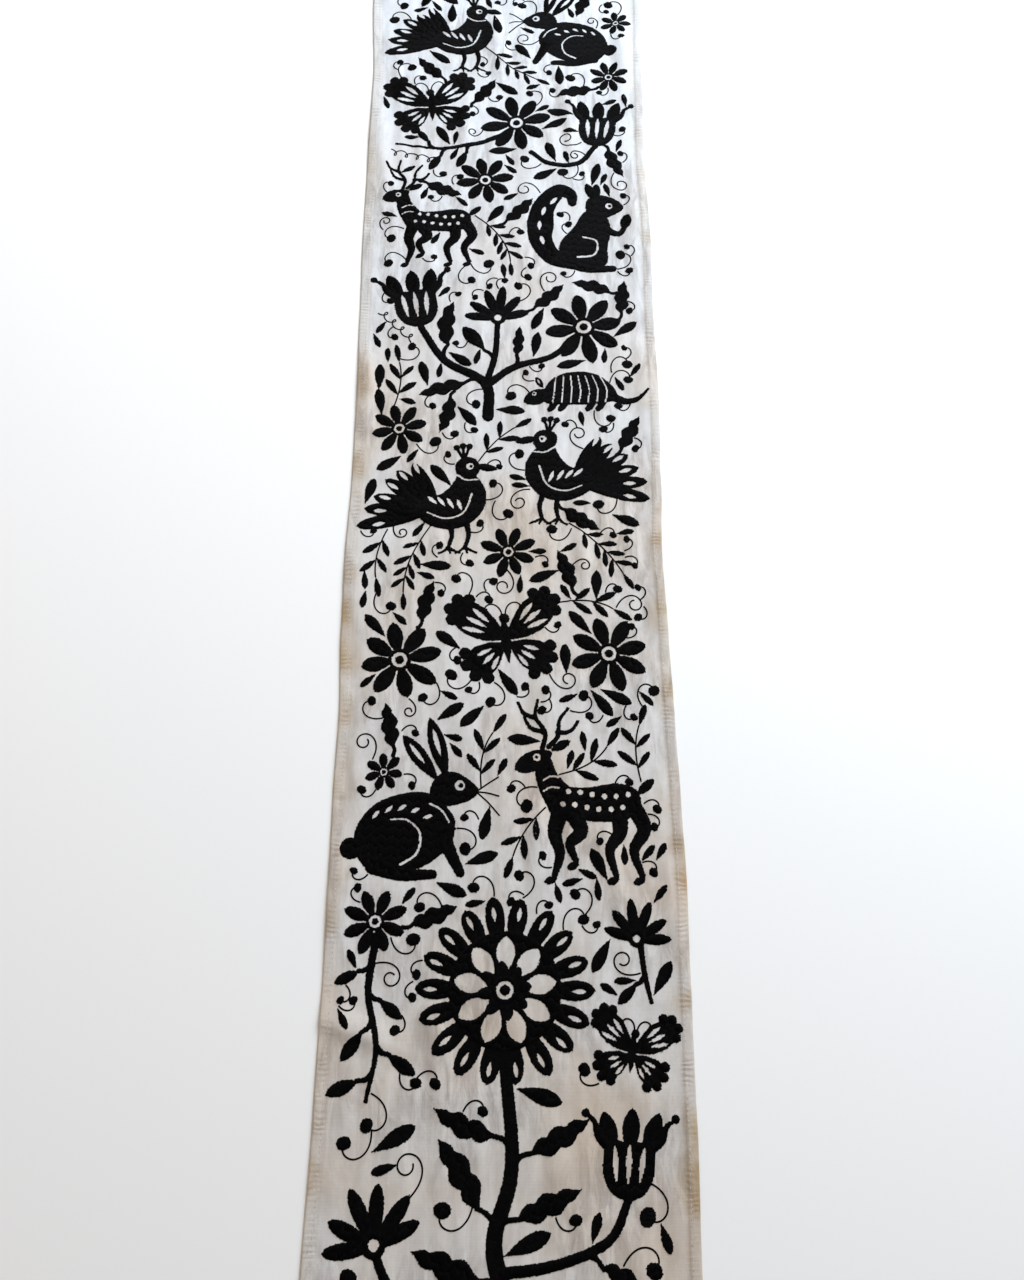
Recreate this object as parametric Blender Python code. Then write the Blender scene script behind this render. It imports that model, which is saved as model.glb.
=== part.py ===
"""Embroidered cotton table runner, laid out on a flat surface: one sheet of plain cloth with a turned hem.

Units are metres, +Z is up and +Y runs along the runner. The origin is the middle of the runner, on the
surface that it lies on. The sheet touches that surface wherever no ripple lifts it.
"""

import math
from collections import namedtuple

import bmesh
import bpy

MM = 0.001

LENGTH = 2.000
WIDTH = 0.400
CLOTH_THICKNESS = 1.4 * MM

# The hem is folded twice, so it stands one more layer above the cloth, and two more at the corners.
HEM_WIDTH = 11.0 * MM
HEM_RISE = 0.8 * MM
HEM_SLOPE = 1.2 * MM

# Cells of the sheet between its hems, sized so that a ripple is several cells wide and long.
CELLS_ACROSS = 26
CELLS_ALONG = 66

# How far the hand-cut ends draw in between their corners.
END_BOW = 2.5 * MM

CLOTH_COLOUR = (0.80, 0.78, 0.75, 1.0)
CLOTH_ROUGHNESS = 0.9

# The side edges wander from a straight line: millimetres outwards, at a place along the runner.
Edge = namedtuple("Edge", "along left right")
SIDE_EDGES = (
    Edge(-1000, 3.0, -3.0),
    Edge(-900, 3.5, -3.5),
    Edge(-755, 0.0, -0.5),
    Edge(-600, -2.0, 1.0),
    Edge(-510, -2.0, 2.5),
    Edge(-420, -1.5, 1.0),
    Edge(-325, -3.0, -1.0),
    Edge(-225, 0.0, -3.0),
    Edge(-120, 1.0, -6.0),
    Edge(-10, -2.0, -2.0),
    Edge(110, -2.5, 1.0),
    Edge(235, 0.0, 0.0),
    Edge(370, 2.0, 2.0),
    Edge(510, 1.5, -1.5),
    Edge(660, 0.5, 2.0),
    Edge(830, 7.0, 7.0),
    Edge(1000, 4.0, 5.0),
)

# Soft ripples that the stitching draws up in the cloth. Each has its middle, its length and width from
# foot to foot and its height in millimetres, and its turn in degrees from the runner's length.
Ripple = namedtuple("Ripple", "x y length width height turn")
RIPPLES = (
    Ripple(-70, -690, 210, 44, 3.2, 6),
    Ripple(-160, -668, 150, 46, 2.6, 68),
    Ripple(-128, -880, 190, 50, 2.4, -28),
    Ripple(58, -800, 170, 40, 2.2, 12),
    Ripple(142, -905, 150, 42, 2.6, 16),
    Ripple(150, -720, 170, 38, 2.0, -6),
    Ripple(20, -925, 130, 40, 1.8, -20),
    Ripple(186, -560, 190, 36, 3.0, 2),
    Ripple(-186, -520, 210, 38, 2.8, -3),
    Ripple(34, -470, 190, 34, 3.0, -4),
    Ripple(74, -440, 200, 34, 3.2, 3),
    Ripple(116, -500, 180, 36, 2.4, 5),
    Ripple(-52, -330, 150, 38, 2.0, 10),
    Ripple(-150, -300, 170, 40, 2.6, -10),
    Ripple(44, -290, 170, 34, 2.2, 0),
    Ripple(160, -330, 200, 38, 2.4, 4),
    Ripple(188, -150, 210, 36, 3.0, -2),
    Ripple(-118, -52, 170, 44, 3.0, 78),
    Ripple(-186, -160, 190, 36, 2.6, 4),
    Ripple(96, -120, 190, 36, 2.8, 6),
    Ripple(-66, -150, 160, 36, 2.0, -8),
    Ripple(60, 30, 160, 36, 2.2, -10),
    Ripple(-184, 120, 220, 38, 3.0, 2),
    Ripple(-40, 190, 180, 38, 2.4, -6),
    Ripple(184, 120, 240, 36, 2.8, 0),
    Ripple(104, 240, 170, 36, 2.2, 8),
    Ripple(-110, 330, 190, 40, 2.4, 12),
    Ripple(20, 400, 190, 36, 2.2, 0),
    Ripple(180, 420, 260, 40, 3.0, -3),
    Ripple(-182, 520, 300, 48, 3.4, 5),
    Ripple(-60, 560, 200, 40, 2.4, -8),
    Ripple(90, 600, 220, 40, 2.6, 5),
    Ripple(176, 700, 240, 50, 3.4, -6),
    Ripple(-20, 750, 230, 44, 2.8, 4),
    Ripple(-120, 800, 220, 44, 2.6, -6),
    Ripple(70, 890, 170, 42, 2.4, 8),
)


def along_table(table, column, along):
    """A column of a table at a place along the runner, eased from one row to the next."""
    low = max((row for row in table if row.along <= along), key=lambda row: row.along)
    high = min((row for row in table if row.along >= along), key=lambda row: row.along)
    if high.along == low.along:
        return getattr(low, column)
    share = (along - low.along) / (high.along - low.along)
    eased = share * share * (3 - 2 * share)
    return getattr(low, column) + eased * (getattr(high, column) - getattr(low, column))


def swell(offset, span):
    """A soft hump: 1 at its middle, and 0 from half a span away."""
    share = abs(offset) / (span / 2)
    return math.cos(share * math.pi / 2) ** 2 if share < 1 else 0.0


def ripple_height(ripple, x, y):
    """How high one ripple lifts the cloth at a place, in metres."""
    turn = math.radians(ripple.turn)
    from_x, from_y = x - ripple.x * MM, y - ripple.y * MM
    across = from_x * math.cos(turn) + from_y * math.sin(turn)
    lengthwise = -from_x * math.sin(turn) + from_y * math.cos(turn)
    hump = swell(across, ripple.width * MM) * swell(lengthwise, ripple.length * MM)
    return ripple.height * MM * hump


def lift(x, y):
    """How high the cloth's underside is above the surface at a place."""
    return sum(ripple_height(ripple, x, y) for ripple in RIPPLES)


def hem_share(from_edge):
    """1 on the hem, 0 on the plain cloth, with a short slope between them."""
    return min(1.0, max(0.0, (HEM_WIDTH + HEM_SLOPE - from_edge) / HEM_SLOPE))


def thickness(across, along):
    """The sheet's thickness at a place on the flat cloth, measured from its middle."""
    side = hem_share(WIDTH / 2 - abs(across))
    end = hem_share(LENGTH / 2 - abs(along))
    return CLOTH_THICKNESS + HEM_RISE * (side + end)


def stations(span, cells):
    """Places across a span: an edge, the hem's inner line and slope, even cells, and the same again."""
    inner = span / 2 - HEM_WIDTH - HEM_SLOPE
    even = [-inner + 2 * inner * cell / cells for cell in range(cells + 1)]
    return [-span / 2, -span / 2 + HEM_WIDTH, *even, span / 2 - HEM_WIDTH, span / 2]


def laid_place(across, along):
    """Where a place on the straight-cut cloth lies, once its edges wander as the real ones do."""
    share = across / WIDTH + 0.5
    left = along_table(SIDE_EDGES, "left", along / MM) * MM
    right = along_table(SIDE_EDGES, "right", along / MM) * MM
    drawn_in = END_BOW * math.sin(share * math.pi) ** 2 * (2 * along / LENGTH) ** 5
    return across - (1 - share) * left + share * right, along - drawn_in


def underside():
    """The sheet's underside as a grid of faces, with the thickness of the cloth above each point."""
    form = bmesh.new()
    rows, above = [], {}
    for along in stations(LENGTH, CELLS_ALONG):
        row = []
        for across in stations(WIDTH, CELLS_ACROSS):
            x, y = laid_place(across, along)
            point = form.verts.new((x, y, lift(x, y)))
            above[point] = thickness(across, along)
            row.append(point)
        rows.append(row)
    for near, far in zip(rows, rows[1:]):
        for i in range(len(near) - 1):
            form.faces.new((near[i], far[i], far[i + 1], near[i + 1]))
    return form, above


def runner_mesh():
    """The closed sheet: its underside, the same faces raised by the cloth's thickness, and its edges."""
    form, above = underside()
    lower = list(form.verts)
    raised = bmesh.ops.extrude_face_region(form, geom=list(form.faces), use_keep_orig=True)
    upper = {
        (point.co.x, point.co.y): point
        for point in raised["geom"]
        if isinstance(point, bmesh.types.BMVert)
    }
    for point in lower:
        upper[(point.co.x, point.co.y)].co.z += above[point]
    bmesh.ops.recalc_face_normals(form, faces=list(form.faces))
    mesh = bpy.data.meshes.new("runner_cloth")
    form.to_mesh(mesh)
    form.free()
    return mesh


def cotton():
    """Bleached plain-weave cotton."""
    material = bpy.data.materials.new("plain_weave_cotton")
    material.use_nodes = True
    shader = material.node_tree.nodes["Principled BSDF"]
    shader.inputs["Base Color"].default_value = CLOTH_COLOUR
    shader.inputs["Roughness"].default_value = CLOTH_ROUGHNESS
    shader.inputs["Metallic"].default_value = 0.0
    return material


def build():
    for leftover in list(bpy.data.objects):
        bpy.data.objects.remove(leftover)
    mesh = runner_mesh()
    mesh.materials.append(cotton())
    mesh.shade_smooth()
    mesh.set_sharp_from_angle(angle=math.radians(30))
    runner = bpy.data.objects.new("runner_cloth", mesh)
    bpy.context.scene.collection.objects.link(runner)


build()
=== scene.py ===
"""Otomi embroidered table runner, laid out flat: a bleached cotton cloth with a turned hem, and its embroidery
of black floss, sewn thread by thread. The cloth and its pattern are worked out in millimetres, from the middle
of the runner, and turned into metres where a mesh is made."""

import cmath
import math
import random
from collections import namedtuple

import bmesh
import bpy
import numpy as np
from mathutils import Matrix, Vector, noise


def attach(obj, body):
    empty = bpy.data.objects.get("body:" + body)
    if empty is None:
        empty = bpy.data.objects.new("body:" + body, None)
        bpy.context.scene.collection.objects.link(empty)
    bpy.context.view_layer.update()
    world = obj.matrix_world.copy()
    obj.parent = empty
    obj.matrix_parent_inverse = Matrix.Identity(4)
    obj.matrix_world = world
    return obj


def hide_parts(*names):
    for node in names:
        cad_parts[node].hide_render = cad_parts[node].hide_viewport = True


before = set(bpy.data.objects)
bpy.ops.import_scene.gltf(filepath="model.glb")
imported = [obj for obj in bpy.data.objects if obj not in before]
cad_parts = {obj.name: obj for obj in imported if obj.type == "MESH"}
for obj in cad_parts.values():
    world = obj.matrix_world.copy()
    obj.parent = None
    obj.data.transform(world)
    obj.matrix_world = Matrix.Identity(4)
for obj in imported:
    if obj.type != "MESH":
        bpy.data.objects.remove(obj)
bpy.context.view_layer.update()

MM = 0.001

# The cloth as it was cut and hemmed, in millimetres.
WIDTH, LENGTH = 400.0, 2000.0
CLOTH = 0.7
HEM_RISE = 1.0
HEM_CORNER_SHARE = 0.35
END_BOW = 2.5
CELL_OF_CLOTH = 5.0

# A section through the turned hem: how far in from the folded edge, how much of the hem's rise its face has
# there, and how far its back is off the surface. The dip is its row of stitches.
HemStep = namedtuple("HemStep", "inward face back")
HEM_STEPS = (
    HemStep(0.0, 0.40, 0.55),
    HemStep(0.4, 0.80, 0.15),
    HemStep(1.1, 0.98, 0.0),
    HemStep(3.0, 1.04, 0.0),
    HemStep(6.0, 1.00, 0.0),
    HemStep(8.4, 0.96, 0.0),
    HemStep(9.3, 0.80, 0.0),
    HemStep(10.3, 0.88, 0.0),
    HemStep(11.6, 0.30, 0.0),
    HemStep(13.4, 0.0, 0.0),
)
HEM_SEAM = 9.3

# The side edges wander from a straight line: millimetres outwards, at a place along the runner.
Edge = namedtuple("Edge", "along left right")
SIDE_EDGES = (
    Edge(-1000, 3.0, -3.0),
    Edge(-900, 3.5, -3.5),
    Edge(-755, 0.0, -0.5),
    Edge(-600, -2.0, 1.0),
    Edge(-510, -2.0, 2.5),
    Edge(-420, -1.5, 1.0),
    Edge(-325, -3.0, -1.0),
    Edge(-225, 0.0, -3.0),
    Edge(-120, 1.0, -6.0),
    Edge(-10, -2.0, -2.0),
    Edge(110, -2.5, 1.0),
    Edge(235, 0.0, 0.0),
    Edge(370, 2.0, 2.0),
    Edge(510, 1.5, -1.5),
    Edge(660, 0.5, 2.0),
    Edge(830, 7.0, 7.0),
    Edge(1000, 4.0, 5.0),
)

# Soft ripples that the stitching draws up in the cloth, as in the solid. Each has its middle, its length and
# width from foot to foot and its height, and its turn in degrees from the runner's length.
Ripple = namedtuple("Ripple", "x y length width height turn")
RIPPLES = (
    Ripple(-70, -690, 210, 44, 3.2, 6),
    Ripple(-160, -668, 150, 46, 2.6, 68),
    Ripple(-128, -880, 190, 50, 2.4, -28),
    Ripple(58, -800, 170, 40, 2.2, 12),
    Ripple(142, -905, 150, 42, 2.6, 16),
    Ripple(150, -720, 170, 38, 2.0, -6),
    Ripple(20, -925, 130, 40, 1.8, -20),
    Ripple(186, -560, 190, 36, 3.0, 2),
    Ripple(-186, -520, 210, 38, 2.8, -3),
    Ripple(34, -470, 190, 34, 3.0, -4),
    Ripple(74, -440, 200, 34, 3.2, 3),
    Ripple(116, -500, 180, 36, 2.4, 5),
    Ripple(-52, -330, 150, 38, 2.0, 10),
    Ripple(-150, -300, 170, 40, 2.6, -10),
    Ripple(44, -290, 170, 34, 2.2, 0),
    Ripple(160, -330, 200, 38, 2.4, 4),
    Ripple(188, -150, 210, 36, 3.0, -2),
    Ripple(-118, -52, 170, 44, 3.0, 78),
    Ripple(-186, -160, 190, 36, 2.6, 4),
    Ripple(96, -120, 190, 36, 2.8, 6),
    Ripple(-66, -150, 160, 36, 2.0, -8),
    Ripple(60, 30, 160, 36, 2.2, -10),
    Ripple(-184, 120, 220, 38, 3.0, 2),
    Ripple(-40, 190, 180, 38, 2.4, -6),
    Ripple(184, 120, 240, 36, 2.8, 0),
    Ripple(104, 240, 170, 36, 2.2, 8),
    Ripple(-110, 330, 190, 40, 2.4, 12),
    Ripple(20, 400, 190, 36, 2.2, 0),
    Ripple(180, 420, 260, 40, 3.0, -3),
    Ripple(-182, 520, 300, 48, 3.4, 5),
    Ripple(-60, 560, 200, 40, 2.4, -8),
    Ripple(90, 600, 220, 40, 2.6, 5),
    Ripple(176, 700, 240, 50, 3.4, -6),
    Ripple(-20, 750, 230, 44, 2.8, 4),
    Ripple(-120, 800, 220, 44, 2.6, -6),
    Ripple(70, 890, 170, 42, 2.4, 8),
)

# Sharper creases on top of them: the two folds of storage, and small tucks beside the densest stitching.
CREASES = (
    Ripple(-96, -46, 250, 13, 1.0, 84),
    Ripple(110, -40, 190, 11, 0.6, 93),
    Ripple(-150, -676, 190, 13, 1.1, 72),
    Ripple(60, -700, 210, 11, 0.6, 88),
    Ripple(-172, -590, 120, 15, 1.1, 24),
    Ripple(-62, -640, 140, 14, 0.9, -8),
    Ripple(170, -470, 150, 14, 1.0, -9),
    Ripple(-176, -390, 130, 13, 0.9, 12),
    Ripple(4, -360, 120, 12, 0.8, 4),
    Ripple(172, -240, 130, 13, 0.9, 10),
    Ripple(-10, 60, 140, 12, 0.8, -5),
    Ripple(-172, 40, 130, 13, 0.9, -10),
    Ripple(60, 380, 150, 13, 0.8, 9),
    Ripple(-176, 640, 170, 16, 1.2, -14),
    Ripple(168, 560, 160, 15, 1.0, 12),
    Ripple(20, 620, 150, 13, 0.8, -7),
    Ripple(150, 850, 150, 15, 1.0, 16),
    Ripple(-60, 880, 140, 14, 0.9, -12),
)

# Between the motifs the bare cloth puckers a little, in ridges that run mostly along the runner.
PUCKER = 2.3
PUCKER_ACROSS, PUCKER_ALONG = 15.0, 78.0
FINE_ACROSS, FINE_ALONG = 8.0, 26.0


def eased(table, column, along):
    """A column of a table at places along the runner, eased from one row to the next."""
    places = np.array([row.along for row in table], float)
    values = np.array([getattr(row, column) for row in table], float)
    low = np.clip(np.searchsorted(places, along, side="right") - 1, 0, len(places) - 2)
    share = np.clip((along - places[low]) / (places[low + 1] - places[low]), 0, 1)
    return values[low] + (values[low + 1] - values[low]) * share * share * (3 - 2 * share)


def laid_place(across, along):
    """Where places on the straight-cut cloth lie, once its edges wander as the real ones do."""
    share = across / WIDTH + 0.5
    left = eased(SIDE_EDGES, "left", along)
    right = eased(SIDE_EDGES, "right", along)
    drawn_in = END_BOW * np.sin(share * np.pi) ** 2 * (2 * along / LENGTH) ** 5
    return across - (1 - share) * left + share * right, along - drawn_in


def swell(offset, span):
    """A soft hump: 1 at its middle, and 0 from half a span away."""
    return np.cos(np.clip(abs(offset) / (span / 2), 0, 1) * np.pi / 2) ** 2


def raised(ripples, x, y):
    """How high a table of ripples lifts the cloth at laid places."""
    height = np.zeros(np.broadcast(x, y).shape)
    for ripple in ripples:
        turn = math.radians(ripple.turn)
        from_x, from_y = x - ripple.x, y - ripple.y
        across = from_x * math.cos(turn) + from_y * math.sin(turn)
        lengthwise = -from_x * math.sin(turn) + from_y * math.cos(turn)
        height += ripple.height * swell(across, ripple.width) * swell(lengthwise, ripple.length)
    return height


# The pattern's map: millimetre sizes of the cloth and of a cell. A cell holds the number of the fill that
# covers it, 0 for bare cloth, LINE under a thin sewn line and KEPT where a motif leaves the cloth bare.
CELL = 0.5
LINE, KEPT = -1, -2
pattern = np.zeros((int(LENGTH / CELL), int(WIDTH / CELL)), np.int32)
Fill = namedtuple("Fill", "window thread group")
fills = [None]
lines = []
hand = random.Random(11)


def smooth(points, closed=False, steps=6):
    """A smooth curve through given points, as complex numbers."""
    knots = [complex(*point) for point in points]
    if closed:
        knots = [knots[-1], *knots, knots[0], knots[1]]
    else:
        knots = [2 * knots[0] - knots[1], *knots, 2 * knots[-1] - knots[-2]]
    t = np.arange(steps) / steps
    spans = [
        b + ((c - a) * t + (2 * a - 5 * b + 4 * c - d) * t**2 + (3 * b - a - 3 * c + d) * t**3) / 2
        for a, b, c, d in zip(knots, knots[1:], knots[2:], knots[3:])
    ]
    curve = np.concatenate(spans)
    return curve if closed else np.append(curve, knots[-2])


def petal_outline(length, width, blunt=0.7, belly=1.15):
    """A petal or leaf from 0 to its length along the real axis, widest past its middle for a belly above 1."""
    share = np.linspace(0, 1, 17)
    half = width / 2 * np.sin(np.pi * share**belly) ** blunt
    return np.concatenate([share * length + 1j * half, (share * length - 1j * half)[-2:0:-1]])


def lobed_outline(length, width, bow, lobes=3):
    """A leaf from 0 along the real axis, with round lobes down both sides and a drawn-out tip, and a midrib
    that bows to the left by a share of its length."""
    share = np.linspace(0, 1, 15 * lobes)
    taper = np.sin(np.pi * share**0.92) ** 0.62 * (1 - 0.3 * share)
    tip = np.clip((1 - share) / 0.2, 0, 1) ** 0.6
    left = taper * (0.66 + 0.44 * abs(np.sin(np.pi * (lobes * share + 0.12)))) * tip
    right = taper * (0.66 + 0.44 * abs(np.sin(np.pi * (lobes * share - 0.22)))) * tip
    rib = share * length + 1j * length * bow * (4 * share * (1 - share) + 0.9 * share**3)
    across = 1j * np.gradient(rib)
    across /= abs(across)
    left_side, right_side = rib + across * left * width / 2, rib - across * right * width / 2
    return np.concatenate([left_side, right_side[-2:0:-1]])


def bent_way(length, first, bend, steps=26):
    """A way that sets out along the imaginary axis and bends more and more, by angles in radians."""
    share = np.linspace(0, 1, steps)
    heading = np.pi / 2 + first * share + bend * share**2
    return np.concatenate([[0], np.cumsum(length / (steps - 1) * np.exp(1j * heading[1:]))])


def round_outline(radius, squash=1.0):
    turn = np.linspace(0, 2 * np.pi, 24, endpoint=False)
    return radius * (np.cos(turn) + 1j * squash * np.sin(turn))


def cells_inside(outline):
    """The window of the map that an outline reaches, and which of its cells are inside."""
    first_x, last_x = ((v + WIDTH / 2) / CELL for v in (outline.real.min(), outline.real.max()))
    first_y, last_y = ((v + LENGTH / 2) / CELL for v in (outline.imag.min(), outline.imag.max()))
    columns = slice(max(0, int(first_x)), min(pattern.shape[1], int(last_x) + 1))
    rows = slice(max(0, int(first_y)), min(pattern.shape[0], int(last_y) + 1))
    xs = (np.arange(columns.start, columns.stop) + 0.5) * CELL - WIDTH / 2
    ys = (np.arange(rows.start, rows.stop) + 0.5) * CELL - LENGTH / 2
    inside = np.zeros((len(ys), len(xs)), bool)
    for start, end in zip(outline, np.roll(outline, -1)):
        crossed = np.nonzero((start.imag > ys) != (end.imag > ys))[0]
        if len(crossed):
            slope = (end.real - start.real) / (end.imag - start.imag)
            reach = start.real + (ys[crossed] - start.imag) * slope
            inside[crossed] ^= xs[None, :] < reach[:, None]
    return (rows, columns), inside


class Needle:
    """Draws one motif, in millimetres from a place on the cloth, turned, sized and mirrored as asked."""

    def __init__(self, origin=0j, axis=1 + 0j, mirrored=False, group="flowers"):
        self.origin, self.axis, self.mirrored, self.group = origin, axis, mirrored, group

    def put(self, points):
        return self.origin + self.axis * (-np.conj(points) if self.mirrored else points)

    def moved(self, x, y, turn=0.0, size=1.0, mirrored=False, group=None):
        step = cmath.rect(size, math.radians(turn))
        axis = self.axis * (step.conjugate() if self.mirrored else step)
        return Needle(
            complex(self.put(complex(x, y))), axis, self.mirrored != mirrored, group or self.group
        )

    def fill(self, outline, thread=90.0):
        """Covers an outline with stitches that run in one direction, in degrees."""
        way = cmath.rect(1.0, math.radians(thread))
        way = self.axis * (-way.conjugate() if self.mirrored else way)
        window, inside = cells_inside(self.put(outline))
        pattern[window][inside] = len(fills)
        fills.append(Fill(window, way / abs(way), self.group))

    def spare(self, outline):
        """Leaves the cloth bare inside an outline."""
        window, inside = cells_inside(self.put(outline))
        pattern[window][inside] = KEPT

    def blob(self, points, thread=90.0):
        self.fill(smooth(points, closed=True), thread)

    def spare_blob(self, points):
        self.spare(smooth(points, closed=True))

    def disc(self, x, y, radius, squash=1.0, thread=70.0):
        self.fill(complex(x, y) + round_outline(radius, squash), thread)

    def spare_disc(self, x, y, radius, squash=1.0):
        self.spare(complex(x, y) + round_outline(radius, squash))

    def petal(self, x, y, turn, length, width, slit=0.0, blunt=0.7, belly=1.15):
        """One petal or leaf from its base, with a bare slit of a share of its width if asked."""
        turn += hand.uniform(-2.5, 2.5)
        length *= hand.uniform(0.95, 1.04)
        way = cmath.rect(1.0, math.radians(turn))
        self.fill(complex(x, y) + way * petal_outline(length, width, blunt, belly), turn + 72)
        if slit:
            inner = petal_outline(length * 0.46, width * slit)
            self.spare(complex(x, y) + way * (length * 0.36 + inner))

    def lobed(self, x, y, turn, length, width, bow=0.1):
        """One lobed leaf from its base, bowed to its left."""
        way = cmath.rect(1.0, math.radians(turn))
        self.fill(complex(x, y) + way * lobed_outline(length, width, bow), turn + 74)

    def spare_petal(self, x, y, turn, length, width):
        way = cmath.rect(1.0, math.radians(turn))
        self.spare(complex(x, y) + way * petal_outline(length, width))

    def stroke(self, points, wide, narrow, bare=False, chunk=5):
        """A tapering band along a smooth way, sewn across in short lengths that follow its bends."""
        way = smooth(points)
        heading = np.gradient(way)
        heading /= abs(heading)
        half = np.linspace(wide, narrow, len(way)) / 2
        left, right = way + 1j * heading * half, way - 1j * heading * half
        if bare:
            self.spare(np.concatenate([left, right[::-1]]))
            return
        self.disc(way[0].real, way[0].imag, wide / 2)
        for first in range(0, len(way) - 1, chunk):
            part = slice(first, first + chunk + 1)
            middle = heading[min(first + chunk // 2, len(way) - 1)]
            across = math.degrees(cmath.phase(middle)) + 76
            self.fill(np.concatenate([left[part], right[part][::-1]]), across)
        self.disc(way[-1].real, way[-1].imag, narrow / 2)

    def line(self, points, steps=6):
        """A thin sewn line along a smooth way."""
        self.sew(smooth(points, steps=steps))

    def sew(self, way):
        way = self.put(way)
        lines.append(way)
        dense = np.interp(np.arange(0, len(way) - 1, 0.1), np.arange(len(way)), way.real) + 1j * np.interp(
            np.arange(0, len(way) - 1, 0.1), np.arange(len(way)), way.imag
        )
        column = np.clip(((dense.real + WIDTH / 2) / CELL).astype(int), 1, pattern.shape[1] - 2)
        row = np.clip(((dense.imag + LENGTH / 2) / CELL).astype(int), 1, pattern.shape[0] - 2)
        for near in (-1, 0, 1):
            for beside in (-1, 0, 1):
                here = pattern[row + near, column + beside]
                pattern[row + near, column + beside] = np.where(here == 0, LINE, here)

    def curl(self, x, y, length, side=1, bend=6.4, dot=0.0):
        """A thin line that sets out along +y and curls in, to the left for side 1, to a dot if any."""
        way = complex(x, y) + bent_way(length, 0.8 * side, bend * side)
        self.sew(way)
        if dot:
            self.disc(way[-1].real, way[-1].imag, dot, 0.85)


def daisy(needle, radius=42.0, petals=8):
    """An open flower: petals around a bare ring with a sewn middle."""
    for place in range(petals):
        turn = 360 * place / petals + 11
        base = cmath.rect(radius * 0.14, math.radians(turn))
        size = radius * hand.uniform(0.8, 0.9)
        needle.petal(base.real, base.imag, turn, size, radius * 3.0 / petals, blunt=0.6, belly=1.3)
    needle.disc(0, 0, radius * 0.27)
    needle.spare_disc(0, 0, radius * 0.19)
    needle.disc(0, 0, radius * 0.1)


def rosette(needle, radius=92.0, petals=18):
    """The great flower: slit petals outside, bare ones within and a dark small flower in the middle."""
    for place in range(petals):
        turn = 360 * place / petals
        base = cmath.rect(radius * 0.46, math.radians(turn))
        needle.petal(base.real, base.imag, turn, radius * 0.54, radius * 0.215, blunt=0.5, belly=1.3)
        slit = cmath.rect(radius * 0.74, math.radians(turn))
        needle.spare_petal(slit.real, slit.imag, turn, radius * 0.17, radius * 0.055)
    needle.disc(0, 0, radius * 0.63)
    for place in range(petals // 2):
        turn = 720 * (place + 0.25) / petals
        base = cmath.rect(radius * 0.19, math.radians(turn))
        needle.spare_petal(base.real, base.imag, turn, radius * 0.39, radius * 0.215)
    for place in range(8):
        turn = 45 * place + 8
        needle.petal(0, 0, turn, radius * 0.31, radius * 0.13, blunt=0.55, belly=1.4)
    needle.disc(0, 0, radius * 0.14)
    needle.spare_disc(0, 0, radius * 0.1)
    needle.disc(0, 0, radius * 0.055)


def tulip(needle):
    """A cup of three petals, 90 mm tall, that stands on its stalk's end."""
    needle.blob(
        [(0, 0), (15, 5), (24, 20), (25, 38), (22, 52), (0, 50), (-22, 52), (-25, 38), (-24, 20), (-15, 5)]
    )
    for side, turn in ((-15, 108), (0, 90), (15, 72)):
        needle.petal(side, 40, turn, 40, 17)
    for out in (False, True):
        half = needle.moved(0, 0, mirrored=out)
        half.stroke([(20, 44), (31, 54), (35, 66), (43, 73)], 9, 3)
        half.spare_petal(11, 14, 84, 34, 6)
        half.disc(44, 74, 4)
    needle.spare_petal(0, 12, 90, 38, 6)


def fan(needle, petals=6, length=52.0):
    """A half-open flower: long petals that spread from a bare heart."""
    for place in range(petals):
        from_middle = place - (petals - 1) / 2
        turn = 90 + from_middle * 190 / petals
        size = length * (1.04 - 0.07 * abs(from_middle))
        needle.petal(0, 0, turn, size, 13.5, blunt=0.55, belly=1.35)
    needle.disc(0, 2, 11)
    needle.spare_disc(0, 2, 5)


def spray(needle, length=68.0, pairs=2, leaf=0.4):
    """A thin bent stalk with pairs of narrow leaves, and one leaf at its tip."""
    way = bent_way(length, 0.25, hand.uniform(0.2, 0.6))
    needle.sew(way)
    for place in range(2 * pairs):
        spot = round((0.26 + 0.66 * (place // 2) / pairs) * (len(way) - 1)) + place % 2
        lean = (-1) ** place * hand.uniform(36, 46)
        turn = math.degrees(cmath.phase(way[spot] - way[spot - 1])) + lean
        size = length * leaf * hand.uniform(0.88, 1.1)
        needle.petal(way[spot].real, way[spot].imag, turn, size, size * 0.29, belly=1.3)
    turn = math.degrees(cmath.phase(way[-1] - way[-2]))
    needle.petal(way[-1].real, way[-1].imag, turn, length * leaf, length * leaf * 0.3, belly=1.3)


def fern(needle, length=98.0):
    """A longer stalk with four pairs of leaves."""
    spray(needle, length, 4, 0.24)


def leafy_stem(needle, points, wide, narrow, leaves, leaf):
    """A thick stalk with leaves on short twigs, each at a share of its way, left of it, or right if negative."""
    needle.stroke(points, wide, narrow)
    way = smooth(points)
    heading = np.gradient(way)
    for share in leaves:
        spot = int(abs(share) * (len(way) - 1))
        side = 1 if share > 0 else -1
        turn = math.degrees(cmath.phase(heading[spot]))
        size = leaf * hand.uniform(0.88, 1.08)
        twig = needle.moved(way[spot].real, way[spot].imag, turn)
        reach = 4 + size * 0.15
        twig.stroke([(0, 0), (reach * 0.7, side * reach * 0.6), (reach, side * reach * 1.5)], 6, 4.5)
        lean = side * hand.uniform(48, 60)
        if leaf > 45:
            twig.lobed(reach, side * reach * 1.4, lean, size, size * 0.37, side * hand.uniform(-0.12, 0.1))
        else:
            twig.petal(reach, side * reach * 1.4, lean, size, size * 0.4)


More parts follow.
